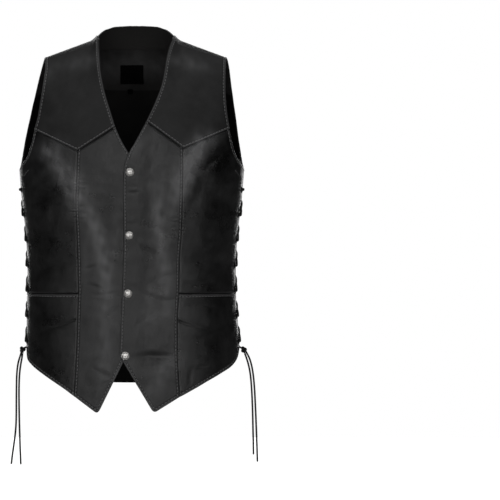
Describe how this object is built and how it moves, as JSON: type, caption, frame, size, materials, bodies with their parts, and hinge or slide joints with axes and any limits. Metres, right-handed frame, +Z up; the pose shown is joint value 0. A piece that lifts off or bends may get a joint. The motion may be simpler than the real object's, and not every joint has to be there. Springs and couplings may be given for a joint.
{
  "type": "leather vest in its worn, hollow form",
  "caption": "Sleeveless black leather vest with a V neck, pointed yokes, snap front and laced sides, kept as a hollow worn form with free lace ends.",
  "frame": {"origin": "between the shoulders, at the height of the middle of the shoulder seams, where the wearer's shoulders hold the vest up", "axes": "+Z up, the front faces -Y, +X towards the wearer's left"},
  "size_m": [0.4278, 0.2394, 0.757],
  "materials": {
    "yoke_leather": "matte",
    "front_leather": "satin",
    "side_leather": "satin",
    "back_leather": "satin pebble grain",
    "facing_leather": "matte",
    "lining": "plain woven, slight sheen",
    "label": "plain, bare",
    "snap_metal": "satin, lightly hammered",
    "eyelet_metal": "black enamel",
    "lace": "satin round lace"
  },
  "bodies": {
    "root": {"back_center": "back_leather", "back_facing": "facing_leather", "back_lining": "lining", "back_side_left": "side_leather", "back_side_right": "side_leather", "eyelet_back_left_1": "eyelet_metal", "eyelet_back_left_2": "eyelet_metal", "eyelet_back_left_3": "eyelet_metal", "eyelet_back_left_4": "eyelet_metal", "eyelet_back_left_5": "eyelet_metal", "eyelet_back_left_6": "eyelet_metal", "eyelet_back_left_7": "eyelet_metal", "eyelet_back_right_1": "eyelet_metal", "eyelet_back_right_2": "eyelet_metal", "eyelet_back_right_3": "eyelet_metal", "eyelet_back_right_4": "eyelet_metal", "eyelet_back_right_5": "eyelet_metal", "eyelet_back_right_6": "eyelet_metal", "eyelet_back_right_7": "eyelet_metal", "eyelet_front_left_1": "eyelet_metal", "eyelet_front_left_2": "eyelet_metal", "eyelet_front_left_3": "eyelet_metal", "eyelet_front_left_4": "eyelet_metal", "eyelet_front_left_5": "eyelet_metal", "eyelet_front_left_6": "eyelet_metal", "eyelet_front_left_7": "eyelet_metal", "eyelet_front_right_1": "eyelet_metal", "eyelet_front_right_2": "eyelet_metal", "eyelet_front_right_3": "eyelet_metal", "eyelet_front_right_4": "eyelet_metal", "eyelet_front_right_5": "eyelet_metal", "eyelet_front_right_6": "eyelet_metal", "eyelet_front_right_7": "eyelet_metal", "front_center_left": "front_leather", "front_center_right": "front_leather", "front_side_lower_left": "side_leather", "front_side_lower_right": "side_leather", "front_side_upper_left": "side_leather", "front_side_upper_right": "side_leather", "knot_left": "lace", "knot_right": "lace", "label_patch": "label", "lace_end_left_inner": "lace", "lace_end_left_outer": "lace", "lace_end_right_inner": "lace", "lace_end_right_outer": "lace", "lacing_left": "lace", "lacing_right": "lace", "lining_side_left": "lining", "lining_side_right": "lining", "size_tab": "label", "snap_cap_1": "snap_metal", "snap_cap_2": "snap_metal", "snap_cap_3": "snap_metal", "snap_cap_4": "snap_metal", "yoke_left": "yoke_leather", "yoke_right": "yoke_leather"}
  },
  "joints": []
}
